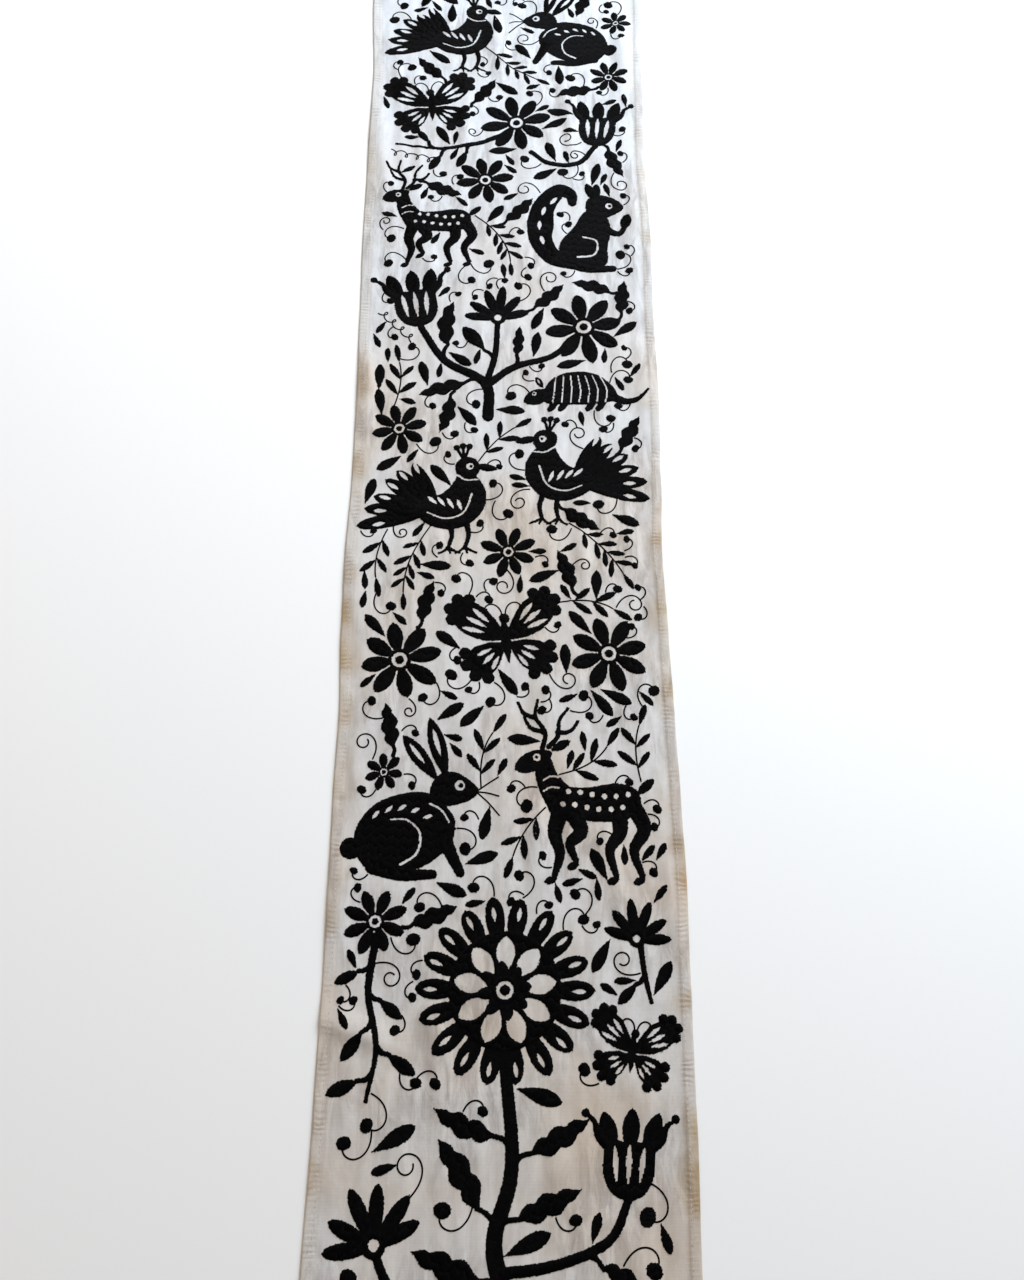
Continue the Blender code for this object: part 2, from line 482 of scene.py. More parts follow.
def hare(needle):
    """A sitting hare, 130 mm long and 165 mm tall, that looks along +x."""
    needle.blob(
        [(30, 78), (43, 60), (41, 40), (26, 22), (4, 10), (-28, 6), (-50, 14)]
        + [(-61, 36), (-55, 60), (-36, 79), (-8, 88), (14, 88)],
        thread=84,
    )
    needle.stroke([(-40, 14), (-12, 5), (20, 4)], 18, 9)
    needle.stroke([(30, 46), (38, 26), (48, 5)], 17, 9)
    needle.blob([(18, 84), (32, 74), (50, 76), (64, 82), (68, 91), (58, 101), (44, 109), (30, 108), (20, 98)], 84)
    needle.petal(36, 102, 104, 68, 18, slit=0.3)
    needle.petal(26, 101, 128, 62, 17, slit=0.3)
    needle.disc(-64, 32, 11)
    needle.spare_disc(49, 95, 5.6)
    needle.disc(50, 95, 2.3)
    needle.stroke([(-14, 14), (4, 26), (7, 46), (-6, 60), (-24, 61)], 3, 2.0, bare=True)
    needle.stroke([(17, 77), (30, 69), (38, 56)], 2.8, 2.2, bare=True)
    for place in range(5):
        needle.spare_petal(-42 + 13 * place, 62 + 8 * math.sin(0.8 * place), 52 - 9 * place, 11, 4.5)
    for rise in (-14, -2, 10):
        needle.line([(66, 88), (78, 88 + rise * 0.8), (90, 86 + rise * 1.7)])


def deer(needle):
    """A stepping deer, 140 mm long and 200 mm tall, that looks along +x."""
    needle.blob([(36, 98), (44, 84), (36, 70), (14, 64), (-14, 62), (-38, 66), (-51, 80), (-47, 97), (-26, 104), (6, 99)])
    needle.stroke([(33, 82), (49, 106), (55, 132)], 34, 17)
    needle.petal(44, 138, -24, 46, 22, blunt=0.55)
    needle.petal(46, 140, 152, 24, 10)
    for points in (
        [(34, 78), (42, 50), (37, 28), (43, 5)],
        [(24, 74), (14, 52), (26, 38), (20, 20)],
        [(-40, 84), (-54, 56), (-42, 32), (-50, 5)],
        [(-26, 78), (-28, 52), (-16, 32), (-22, 5)],
    ):
        needle.stroke(points, 20, 6)
        needle.petal(points[-1][0] - 3, points[-1][1] - 3, -18, 14, 8)
    needle.petal(-47, 92, 138, 26, 10)
    for points in (
        [(55, 142), (52, 160), (63, 178), (60, 197)],
        [(53, 160), (68, 165), (75, 177)],
        [(62, 176), (76, 182), (82, 194)],
        [(48, 144), (38, 156), (36, 174), (26, 188)],
        [(38, 160), (24, 162), (15, 173)],
    ):
        needle.stroke(points, 5.5, 3)
    needle.spare_disc(61, 132, 4.4)
    needle.disc(61.5, 132, 1.8)
    for place in range(6):
        needle.spare_disc(-38 + 13 * place, 92 - 2.5 * math.sin(place), 3.2)
        needle.spare_disc(-32 + 13 * place, 78 - 2.5 * math.sin(place), 3.2)
    for rise in (0, 12):
        needle.stroke([(36, 98 + rise), (46, 99 + rise), (55, 94 + rise)], 2.6, 2, bare=True)


def bird(needle):
    """A strutting bird, 160 mm long and 130 mm tall, that looks along +x, with a fan of slit tail feathers."""
    for place in range(6):
        needle.petal(-20 + 2 * place, 34 + place, 192 - 15 * place, 88 - 4 * place, 18, blunt=0.5, belly=1.4)
        tip = complex(-20 + 2 * place, 34 + place) + cmath.rect(54, math.radians(192 - 15 * place))
        needle.spare_petal(tip.real, tip.imag, 192 - 15 * place, 17, 5.5)
    needle.blob(
        [(33, 84), (46, 62), (44, 38), (26, 18), (0, 12), (-24, 20), (-38, 36), (-28, 52), (-6, 60), (8, 76), (14, 92)]
    )
    needle.disc(24, 94, 15)
    needle.petal(32, 97, -12, 28, 10)
    for turn in (72, 95, 118):
        tip = complex(20, 104) + cmath.rect(20, math.radians(turn))
        needle.stroke([(20, 104), ((20 + tip.real) / 2, (104 + tip.imag) / 2), (tip.real, tip.imag)], 3.4, 3)
        needle.disc(tip.real, tip.imag, 4)
    needle.stroke([(30, 60), (20, 34), (-2, 26), (-24, 34)], 3, 2, bare=True)
    for place in range(4):
        needle.spare_petal(18 - 10 * place, 36 + 3 * place, 112 + 8 * place, 17, 5)
    needle.stroke([(9, 86), (22, 78), (37, 78)], 2.8, 2.2, bare=True)
    needle.spare_disc(27, 96, 4.8)
    needle.disc(28, 96, 1.9)
    for foot in (4, 24):
        needle.stroke([(foot, 20), (foot + 3, 4), (foot - 1, -12)], 7, 4)
        for reach in (-12, 2, 13):
            needle.stroke([(foot - 1, -11), (foot + reach * 0.5, -16), (foot + reach, -19)], 3.6, 2)


def armadillo(needle):
    """A banded armadillo, 170 mm long and 70 mm tall, that looks along +x."""
    needle.stroke([(-50, 26), (-72, 16), (-92, 20), (-108, 36)], 15, 3)
    for foot in (-36, -20, 22, 38):
        needle.stroke([(foot, 20), (foot + 2, 10), (foot + 7, 3)], 15, 8)
    needle.petal(40, 36, -20, 50, 26, blunt=0.6)
    needle.petal(54, 42, 62, 22, 10, slit=0.3)
    needle.blob([(-58, 20), (-54, 42), (-30, 64), (4, 70), (36, 60), (53, 38), (54, 18), (30, 12), (-20, 12)], 96)
    for place in range(7):
        foot = -41 + 13.5 * place
        needle.stroke([(foot, 15), (foot - 3, 38), (foot * 0.82, 64)], 2.8, 2.2, bare=True)
    needle.spare_disc(68, 32, 3.8)
    needle.disc(68.5, 32, 1.5)


def squirrel(needle):
    """A squirrel with a high curled tail, 110 mm long and 130 mm tall, that holds a seed and looks along +x."""
    needle.stroke([(-16, 10), (-36, 18), (-49, 40), (-50, 62)], 16, 30)
    needle.stroke([(-50, 62), (-46, 86), (-30, 108), (-16, 104), (-14, 92)], 30, 9)
    needle.blob([(20, 78), (28, 58), (24, 32), (22, 8), (-6, 2), (-26, 12), (-28, 36), (-12, 60), (0, 80)], 84)
    needle.blob([(2, 80), (18, 72), (33, 77), (43, 87), (34, 98), (17, 104), (3, 97)], 84)
    for turn in (84, 112):
        needle.petal(11, 96, turn, 25, 11)
    needle.stroke([(20, 58), (36, 50), (44, 60)], 9, 5)
    needle.stroke([(-18, 8), (6, 2), (30, 3)], 12, 8)
    needle.petal(43, 58, 78, 19, 12, blunt=0.5, belly=0.9)
    needle.spare_disc(27, 89, 4.2)
    needle.disc(27.6, 89, 1.7)
    needle.stroke([(-10, 18), (10, 22), (12, 40), (-4, 46)], 2.8, 2, bare=True)
    for x, y, turn in ((-46, 34, 104), (-51, 54, 88), (-48, 74, 74), (-39, 90, 50)):
        needle.spare_petal(x, y, turn, 13, 5)


def butterfly(needle):
    """A butterfly seen from above, 130 mm across."""
    for side in (False, True):
        wing = needle.moved(0, 0, mirrored=side)
        wing.blob([(2, 2), (8, 22), (26, 46), (50, 58), (64, 50), (62, 28), (46, 10), (20, 0)], 30)
        wing.blob([(2, 2), (24, -2), (44, -8), (52, -24), (42, -42), (24, -42), (10, -26)], -40)
        for x, y in ((40, 56), (54, 57), (65, 46), (64, 32), (52, -13), (52, -28), (43, -42), (28, -46)):
            wing.disc(x, y, 7.5)
        for turn in (19, 34, 48):
            root = cmath.rect(27, math.radians(turn))
            wing.spare_petal(root.real, 3 + root.imag, turn, 29, 6.5)
        for turn in (-57, -39, -21):
            root = cmath.rect(20, math.radians(turn))
            wing.spare_petal(root.real, root.imag - 2, turn, 21, 5.5)
        wing.stroke([(2, -2), (24, 0), (46, 4)], 2.6, 2, bare=True)
        wing.curl(2, 30, 36, -1, 2.2, dot=3.2)
    needle.petal(0, -30, 90, 60, 12)
    needle.disc(0, 27, 6.5)


def lobed_leaf(needle, length=66.0):
    """A single lobed leaf on a short curved twig."""
    needle.stroke([(0, 0), (3, 6), (2, 14)], 4.5, 4)
    needle.lobed(2, 11, 88, length - 12, length * 0.34, hand.uniform(-0.09, 0.09))


def long_leaf(needle, length=40.0):
    needle.petal(0, 0, 90, length, length * 0.33, belly=1.5)


def small_leaf(needle):
    long_leaf(needle, 24)


def loops(needle, length=66.0, rounds=4):
    """A thin line that loops over itself as it goes."""
    share = np.linspace(0, 1, 12 * rounds)
    way = 1j * share * length + length * 0.08 * np.exp(2j * np.pi * rounds * share)
    needle.sew(way - way[0])


def curl(needle, length=78.0):
    needle.curl(0, 0, length)


def small_curl(needle):
    curl(needle, 52)


def dotted_curl(needle, length=48.0):
    """A curl that ends in a berry."""
    needle.curl(0, 0, length, bend=2.8, dot=hand.uniform(5.8, 8))


def small_dotted_curl(needle):
    needle.curl(0, 0, 27, bend=2.4, dot=hand.uniform(4.4, 5.8))


def little_flower(needle, radius=23.0):
    daisy(needle, radius, 7)


FLOWERS, BEASTS, WINGED, STEMS_GROUP, SPRAYS = "flowers", "beasts", "birds_and_butterflies", "stems", "sprays"

# Where each motif stands: millimetres from the middle of the runner, degrees to the left, its size, and
# whether it is mirrored to look left.
Place = namedtuple("Place", "motif x y turn size left group")
LAYOUT = (
    Place(armadillo, -104, -984, 0, 0.74, False, BEASTS),
    Place(daisy, 142, -952, 0, 0.86, False, FLOWERS),
    Place(fan, -128, -872, 14, 1.14, False, FLOWERS),
    Place(tulip, 126, -830, -4, 1.06, False, FLOWERS),
    Place(rosette, -2, -628, 0, 1.06, False, FLOWERS),
    Place(daisy, -146, -556, 10, 0.86, False, FLOWERS),
    Place(butterfly, 135, -690, -10, 0.68, False, WINGED),
    Place(fan, 142, -576, -6, 0.84, False, FLOWERS),
    Place(hare, -106, -510, 0, 1.1, False, BEASTS),
    Place(deer, 98, -512, 0, 1.06, True, BEASTS),
    Place(daisy, -128, -252, 0, 1.22, False, FLOWERS),
    Place(butterfly, 2, -226, 4, 1.0, False, WINGED),
    Place(daisy, 126, -244, 5, 1.16, False, FLOWERS),
    Place(daisy, 6, -110, 12, 0.84, False, FLOWERS),
    Place(bird, -74, -92, 0, 1.06, False, WINGED),
    Place(bird, 72, -52, 0, 1.06, True, WINGED),
    Place(daisy, -142, 66, 0, 0.9, False, FLOWERS),
    Place(tulip, -118, 224, 8, 1.16, False, FLOWERS),
    Place(armadillo, 94, 92, 0, 0.86, True, BEASTS),
    Place(daisy, 104, 222, 0, 1.3, False, FLOWERS),
    Place(fan, -12, 236, 4, 1.0, False, FLOWERS),
    Place(deer, -98, 326, 0, 0.92, True, BEASTS),
    Place(squirrel, 108, 316, 0, 1.26, False, BEASTS),
    Place(daisy, -30, 474, 0, 1.0, False, FLOWERS),
    Place(butterfly, -112, 612, 6, 0.94, False, WINGED),
    Place(daisy, 14, 580, 0, 1.2, False, FLOWERS),
    Place(tulip, 130, 536, -2, 1.06, False, FLOWERS),
    Place(bird, -72, 700, 0, 1.06, False, WINGED),
    Place(hare, 88, 692, 0, 0.98, True, BEASTS),
    Place(daisy, 150, 668, 7, 0.7, False, FLOWERS),
    Place(daisy, 150, 878, 0, 0.84, False, FLOWERS),
    Place(rosette, 14, 900, 0, 0.72, False, FLOWERS),
    Place(fan, -124, 902, 6, 1.0, False, FLOWERS),
)

# The thick stems: the places that each runs through, its width at both ends, and its leaves' places along it,
# as shares of its way that are negative for the right side, with their length.
Stem = namedtuple("Stem", "way wide narrow leaves leaf")
STEMS = (
    Stem([(-12, -975), (4, -930), (-8, -868), (8, -800), (-2, -686)], 21, 12, (-0.1, 0.36, -0.56, 0.57, -0.77, 0.8), 76),
    Stem([(-2, -938), (-54, -926), (-108, -908), (-130, -868)], 12, 8, (), 52),
    Stem([(2, -896), (56, -888), (108, -866), (128, -828)], 11, 8, (-0.55,), 52),
    Stem([(-144, -572), (-150, -630), (-138, -684), (-146, -738)], 9, 4, (-0.2, 0.36, -0.55, 0.7, -0.86), 34),
    Stem([(146, -578), (150, -612), (156, -640)], 7, 4, (-0.5,), 30),
    Stem([(-26, 84), (-30, 134), (-84, 170), (-116, 222)], 15, 9, (0.4, -0.72), 66),
    Stem([(-30, 130), (10, 160), (60, 176), (92, 208)], 11, 7, (0.34,), 50),
    Stem([(-30, 130), (-16, 180), (-12, 236)], 9, 7, (0.45,), 44),
    Stem([(36, 524), (64, 504), (104, 504), (130, 536)], 7, 8, (), 46),
    Stem([(0, 560), (-44, 540), (-96, 532), (-160, 540)], 9, 3, (0.42, 0.64, -0.76), 30),
    Stem([(-126, 906), (-120, 860), (-134, 830)], 8, 6, (0.5,), 44),
)

# What grows into the gaps: the way that it takes, how much bare cloth it needs beside that way, how often
# it is tried and whether it must set out from a motif's edge.
Filler = namedtuple("Filler", "motif length bend beside tries rooted")
FILLERS = (
    Filler(fern, 122, 0.4, 14, 4000, True),
    Filler(spray, 96, 0.4, 14, 9000, True),
    Filler(little_flower, 44, 0, 20, 4000, False),
    Filler(lobed_leaf, 62, 0, 13, 9000, True),
    Filler(curl, 78, 6.4, 6, 1400, True),
    Filler(dotted_curl, 50, 2.8, 8, 12000, True),
    Filler(loops, 70, 0, 8, 2500, True),
    Filler(long_leaf, 40, 0, 6.5, 14000, True),
    Filler(small_curl, 52, 6.4, 5, 1400, True),
    Filler(small_dotted_curl, 28, 2.4, 5.5, 12000, True),
    Filler(small_leaf, 24, 0, 4.5, 12000, True),
)
# By the near end the design opens up: how much wider the gaps stay there, and how much larger fillers are.
OPEN_FROM, OPEN_BY, OPEN_SIZE = -660, 5.0, 1.25


def vacant(spot, beside):
    """Whether the cloth is still bare in a square around a place."""
    x, y = spot.real, spot.imag
    if abs(x) + beside > WIDTH / 2 - 15 or abs(y) + beside > LENGTH / 2 - 15:
        return False
    column, row, reach = (int(v / CELL) for v in (x + WIDTH / 2, y + LENGTH / 2, beside))
    return not pattern[row - reach : row + reach + 1, column - reach : column + reach + 1].any()


def way_out(spot):
    """The heading away from the sewing that is just beside a bare place, or none."""
    column, row = int((spot.real + WIDTH / 2) / CELL), int((spot.imag + LENGTH / 2) / CELL)
    if not vacant(spot, 1.2) or not pattern[row - 9 : row + 10, column - 9 : column + 10].any():
        return None
    around = np.exp(1j * np.linspace(0, 2 * np.pi, 16, endpoint=False))
    bare = np.array([vacant(spot + 5.5 * way, 0.6) for way in around])
    heading = (around * bare).sum()
    return heading / abs(heading) if abs(heading) > 1 else None


def grow(base):
    """Fills the gaps between the motifs, from the largest fillers to the smallest."""
    for filler in FILLERS:
        for attempt in range(filler.tries):
            spot = complex(hand.uniform(-184, 184), hand.uniform(-984, 984))
            left, turn = hand.random() < 0.5, hand.uniform(-40, 40)
            if filler.rooted:
                heading = way_out(spot)
                if heading is None:
                    continue
                turn += math.degrees(cmath.phase(heading)) - 90
            near_end = spot.imag < OPEN_FROM
            size = OPEN_SIZE if near_end else 1.0
            needle = base.moved(spot.real, spot.imag, turn, size, left, SPRAYS)
            way = needle.put(bent_way(filler.length, 0.8 if filler.bend > 1 else 0.2, filler.bend))
            beside = filler.beside + (OPEN_BY if near_end else 0)
            first = 3 + int(26 * beside / filler.length) if filler.rooted else 0
            fits = first < 24 and all(vacant(place, beside) for place in way[first::2])
            if fits and all(vacant(place, 0.8) for place in way[:first]):
                filler.motif(needle.moved(0, -2.5) if filler.rooted else needle)


def embroider():
    base = Needle()
    stems = base.moved(0, 0, group=STEMS_GROUP)
    for stem in STEMS:
        leafy_stem(stems, stem.way, stem.wide, stem.narrow, stem.leaves, stem.leaf)
    for place in LAYOUT:
        turn = place.turn + hand.uniform(-2, 2)
        place.motif(base.moved(place.x, place.y, turn, place.size, place.left, place.group))
    grow(base)


def cover_near(across, along, reach=14.0):
    """The share of the cloth that is sewn over around places, from the pattern's map."""
    sums = np.pad(np.cumsum(np.cumsum(pattern > 0, axis=0), axis=1), ((1, 0), (1, 0)))

    def cells(place, size, count):
        return np.clip(((place + size / 2) / CELL).astype(int), 0, count)

    left = cells(across - reach, WIDTH, pattern.shape[1])
    right = cells(across + reach, WIDTH, pattern.shape[1])
    near = cells(along - reach, LENGTH, pattern.shape[0])
    far = cells(along + reach, LENGTH, pattern.shape[0])
    total = sums[far, right] - sums[near, right] - sums[far, left] + sums[near, left]
    return total / np.maximum(1, (far - near) * (right - left))


def ruffled(across, along, pace_across, pace_along, seed):
    """Smooth noise at places of the cloth, stretched along the runner."""
    values = [
        noise.noise(Vector((x / pace_across, y / pace_along, seed)))
        for x, y in zip(across.ravel(), along.ravel())
    ]
    return np.array(values).reshape(across.shape)


def stations(span):
    """Places across a span: the steps of its hem, even cells, and the hem again."""
    inner = span / 2 - HEM_STEPS[-1].inward
    even = np.linspace(-inner, inner, round(2 * inner / CELL_OF_CLOTH) + 1)[1:-1]
    hem = np.array([-span / 2 + step.inward for step in HEM_STEPS])
    return np.concatenate([hem, even, -hem[::-1]])


def hem_value(column, from_edge):
    inward = [step.inward for step in HEM_STEPS]
    return np.interp(from_edge, inward, [getattr(step, column) for step in HEM_STEPS])


class Cloth:
    """The heights of the laid cloth at a grid of its own places, for its mesh and for what is sewn on it."""

    def __init__(self):
        self.columns, self.rows = stations(WIDTH), stations(LENGTH)
        across, along = np.meshgrid(self.columns, self.rows)
        self.x, self.y = laid_place(across, along)
        side, end = WIDTH / 2 - abs(across), LENGTH / 2 - abs(along)
        side_face, end_face = hem_value("face", side), hem_value("face", end)
        face = np.maximum(side_face, end_face) + HEM_CORNER_SHARE * np.minimum(side_face, end_face)
        back = np.maximum(hem_value("back", side), hem_value("back", end))
        ridges = ruffled(across, along, PUCKER_ACROSS, PUCKER_ALONG, 3.7)
        fine = ruffled(across, along, FINE_ACROSS, FINE_ALONG, 8.2)
        bare = 1 - 0.85 * cover_near(across, along)
        free = np.clip((np.minimum(side, end) - 6) / 16, 0.25, 1)
        pucker = PUCKER * bare * free * np.clip(0.35 + 0.9 * ridges + 0.35 * fine, 0, None)
        floor = raised(RIPPLES, self.x, self.y) + raised(CREASES, self.x, self.y) * bare + pucker
        self.back = floor + back
        self.face = floor + CLOTH + HEM_RISE * face

    def mesh(self, name):
        """The closed sheet: a grid laid on the surface, and the same faces raised by the cloth's thickness."""
        bpy.ops.mesh.primitive_grid_add(
            x_subdivisions=len(self.columns) - 1, y_subdivisions=len(self.rows) - 1, size=2
        )
        sheet = bpy.context.object
        sheet.name = sheet.data.name = name
        form = bmesh.new()
        form.from_mesh(sheet.data)
        top = form.verts.layers.float.new("top")
        hem = form.verts.layers.float_vector.new("hem")
        for point in form.verts:
            column = round((point.co.x + 1) / 2 * (len(self.columns) - 1))
            row = round((point.co.y + 1) / 2 * (len(self.rows) - 1))
            point[top] = self.face[row, column] * MM
            across, along = self.columns[column], self.rows[row]
            side, end = WIDTH / 2 - abs(across), LENGTH / 2 - abs(along)
            point[hem] = (side, along, 0) if side < end else (end, across, 0)
            point.co = (
                self.x[row, column] * MM,
                self.y[row, column] * MM,
                self.back[row, column] * MM,
            )
        lifted = bmesh.ops.extrude_face_region(form, geom=list(form.faces), use_keep_orig=True)
        for point in lifted["geom"]:
            if isinstance(point, bmesh.types.BMVert):
                point.co.z = point[top]
        form.verts.layers.float.remove(top)
        bmesh.ops.recalc_face_normals(form, faces=list(form.faces))
        form.to_mesh(sheet.data)
        form.free()
        sheet.data.shade_smooth()
        return sheet

    def height(self, across, along):
        """The height of the cloth's face at places between those of its grid."""
        column = np.clip(np.searchsorted(self.columns, across) - 1, 0, len(self.columns) - 2)
        row = np.clip(np.searchsorted(self.rows, along) - 1, 0, len(self.rows) - 2)
        right = (across - self.columns[column]) / (self.columns[column + 1] - self.columns[column])
        far = (along - self.rows[row]) / (self.rows[row + 1] - self.rows[row])
        here, beside = self.face[row, column], self.face[row, column + 1]
        ahead, across_from = self.face[row + 1, column], self.face[row + 1, column + 1]
        # A cell of the mesh may be split along either diagonal, so the higher of the two is taken.
        rising = np.where(
            right >= far,
            here + right * (beside - here) + far * (across_from - beside),
            here + far * (ahead - here) + right * (across_from - ahead),
        )
        falling = np.where(
            right + far <= 1,
            here + right * (beside - here) + far * (ahead - here),
            across_from + (1 - right) * (ahead - across_from) + (1 - far) * (beside - across_from),
        )
        return np.maximum(rising, falling)


# The threads, in millimetres: how far apart they lie, how thick they are and how they are split.
PITCH = 1.2
FLOSS_WIDTH, FLOSS_HEIGHT = 1.56, 0.56
SHOULDER = 0.25
BAND = 10.5
SEAM_OVERLAP = 1.1
SEAM_CELLS = 1
DIVE = 0.6
SINK = 0.05
LINE_STEP, LINE_WIDTH = 3.0, 1.9
HEM_STEP, HEM_STITCH = 5.6, 3.3


def own_cells(number, window):
    """The cells of a fill, spread over the sewn ones beside them so that no gap shows along a seam, with a
    bare margin, and the row and column of the first."""
    top, left = (max(0, part.start - SEAM_CELLS) for part in window)
    cells = pattern[top : window[0].stop + SEAM_CELLS, left : window[1].stop + SEAM_CELLS]
    own = np.pad(cells == number, 1)
    for _ in range(SEAM_CELLS):
        beside = own[:-2, 1:-1] | own[2:, 1:-1] | own[1:-1, :-2] | own[1:-1, 2:]
        own[1:-1, 1:-1] |= beside & (cells > 0)
    return own, top - 1, left - 1


def satin(number, fill):
    """The stitches of one fill: straight threads side by side, split where they would be too long."""
    rows, columns = fill.window
    xs = np.array([columns.start, columns.stop]) * CELL - WIDTH / 2
    ys = np.array([rows.start, rows.stop]) * CELL - LENGTH / 2
    corners = (xs[:, None] + 1j * ys[None, :]).ravel() / fill.thread
    step = CELL * 0.6
    ahead = np.arange(corners.real.min() - 3 * step, corners.real.max() + 4 * step, step)
    beside = np.arange(corners.imag.min(), corners.imag.max() + PITCH, PITCH)
    places = (ahead[None, :] + 1j * beside[:, None]) * fill.thread
    column = np.clip(((places.real + WIDTH / 2) / CELL).astype(int), 0, pattern.shape[1] - 1)
    row = np.clip(((places.imag + LENGTH / 2) / CELL).astype(int), 0, pattern.shape[0] - 1)
    own, top, left = own_cells(number, fill.window)
    inside = own[np.clip(row - top, 0, own.shape[0] - 1), np.clip(column - left, 0, own.shape[1] - 1)]
    turns = np.diff(np.pad(inside, ((0, 0), (1, 1))).astype(np.int8), axis=1)
    lanes, firsts = np.nonzero(turns == 1)
    lasts = np.nonzero(turns == -1)[1]
    sewn = pattern[row, column] > 0
    sewn_before = np.roll(sewn, 2, axis=1)
    sewn_after = np.roll(sewn, -1, axis=1)
    starts, ends = [], []
    for lane, first, last in zip(lanes, firsts, lasts):
        begin, finish = ahead[0] + step * first, ahead[0] + step * last
        if finish - begin < 0.5:
            continue
        begin -= SEAM_OVERLAP if sewn_before[lane, first] else hand.uniform(0.05, 0.75)
        finish += SEAM_OVERLAP if sewn_after[lane, last - 1] else hand.uniform(0.05, 0.75)
        seams = [begin, finish]
        if finish - begin > 1.35 * BAND:
            shift = 1.8 * math.sin(0.5 * beside[lane]) + hand.uniform(-0.8, 0.8)
            marks = np.arange(math.floor(begin / BAND) * BAND + shift, finish, BAND)
            seams[1:1] = [mark for mark in marks if begin + 3 < mark < finish - 3]
        middle = beside[lane] + hand.uniform(-0.07, 0.07)
        for near, far in zip(seams, seams[1:]):
            under = SEAM_OVERLAP if near > begin else 0.0
            starts.append(complex(near - under, middle) * fill.thread)
            under = SEAM_OVERLAP if far < finish else 0.0
            ends.append(complex(far + under, middle) * fill.thread)
    return starts, ends


def backstitch(way, step=LINE_STEP):
    """Stitches end to end along a thin line."""
    run = np.concatenate([[0], np.cumsum(abs(np.diff(way)))])
    count = max(1, round(run[-1] / step))
    marks = np.linspace(0, run[-1], count + 1)
    points = np.interp(marks, run, way.real) + 1j * np.interp(marks, run, way.imag)
    heading = np.diff(points) / abs(np.diff(points))
    return list(points[:-1] - 0.45 * heading), list(points[1:] + 0.45 * heading)


def hem_stitches():
    """The small stitches that hold the hem, in a row along each of its four sides."""
    starts, ends = [], []
    for half, span, way in ((WIDTH / 2, LENGTH, 1j), (LENGTH / 2, WIDTH, 1)):
        for side in (-1, 1):
            for place in np.arange(-span / 2 + 12, span / 2 - 12, HEM_STEP):
                across = side * (half - HEM_SEAM + hand.uniform(-0.35, 0.35))
                begin = place + hand.uniform(-0.4, 0.4)
                corner = across * (1 if way == 1j else 1j)
                starts.append(corner + begin * way)
                ends.append(corner + (begin + HEM_STITCH * hand.uniform(0.85, 1.1)) * way)
    return starts, ends


def crown_faces(crowns):
    """The faces of one thread whose crowns are a left, a top and a right point each, after its two ends."""
    faces = [(0, 3, 2), (0, 4, 3), (0, 2, 4)]
    for place in range(crowns - 1):
        left, top, right = (2 + 3 * place + k for k in range(3))
        faces += [
            (left, top, top + 3, left + 3),
            (top, right, right + 3, top + 3),
            (right, left, left + 3, right + 3),
        ]
    left, top, right = (2 + 3 * (crowns - 1) + k for k in range(3))
    return faces + [(1, left, top), (1, top, right), (1, right, left)]


def thread_mesh(name, cloth, starts, ends, width, height):
    """One joined mesh of threads on the cloth, each an arched strip that dives into it at both ends."""
    starts, ends = np.array(starts), np.array(ends)
    lengths = abs(ends - starts)
    crowns_of = np.clip(np.ceil(lengths / 4.2).astype(int), 2, 5)
    points, sewn, loops, sizes, base = [], [], [], [], 0
    shades = np.random.default_rng(5)
    for crowns in np.unique(crowns_of):
        chosen = crowns_of == crowns
        start, length = starts[chosen], lengths[chosen]
        way = (ends[chosen] - start) / length
        count = len(start)
        dive = np.minimum(DIVE, length / 3)
        tone = shades.uniform(0, 1, count)
        tall = height * shades.uniform(0.85, 1.12, count)
        along = dive[:, None] + (length - 2 * dive)[:, None] * np.linspace(0, 1, crowns)
        side = np.tile([width / 2, 0.0, -width / 2], crowns)
        rise = np.tile([SHOULDER, 1.0, SHOULDER], crowns)
        stretch = np.concatenate([np.zeros((count, 1)), length[:, None], np.repeat(along, 3, axis=1)], axis=1)
        beside = np.concatenate([[0.0, 0.0], side])
        up = np.concatenate([[0.0, 0.0], rise])
        flat = start[:, None] + way[:, None] * (stretch + 1j * beside)
        x, y = laid_place(flat.real, flat.imag)
        z = cloth.height(flat.real, flat.imag) + tall[:, None] * up - SINK * (up == 0)
        points.append(np.stack([x, y, z], axis=-1).reshape(-1, 3))
        shade = np.broadcast_to(tone[:, None], stretch.shape)
        across = np.broadcast_to(beside / width * 2, stretch.shape)
        sewn.append(np.stack([across, stretch, shade], axis=-1).reshape(-1, 3))
        faces = crown_faces(crowns)
        corners = np.concatenate([np.array(face) for face in faces])
        per_thread = 2 + 3 * crowns
        offsets = base + per_thread * np.arange(count)
        loops.append((offsets[:, None] + corners[None, :]).ravel())
        sizes.append(np.tile([len(face) for face in faces], count))
        base += per_thread * count
    points, sewn = np.concatenate(points) * MM, np.concatenate(sewn)
    loops, sizes = np.concatenate(loops), np.concatenate(sizes)
    mesh = bpy.data.meshes.new(name)
    mesh.vertices.add(len(points))
    mesh.vertices.foreach_set("co", points.ravel())
    mesh.loops.add(len(loops))
    mesh.loops.foreach_set("vertex_index", loops)
    mesh.polygons.add(len(sizes))
    mesh.polygons.foreach_set("loop_start", np.concatenate([[0], np.cumsum(sizes)[:-1]]))
    mesh.update(calc_edges=True)
    mesh.attributes.new("sewn", "FLOAT_VECTOR", "POINT").data.foreach_set("vector", sewn.ravel())
    mesh.shade_smooth()
    piece = bpy.data.objects.new(name, mesh)
    bpy.context.scene.collection.objects.link(piece)
    return piece


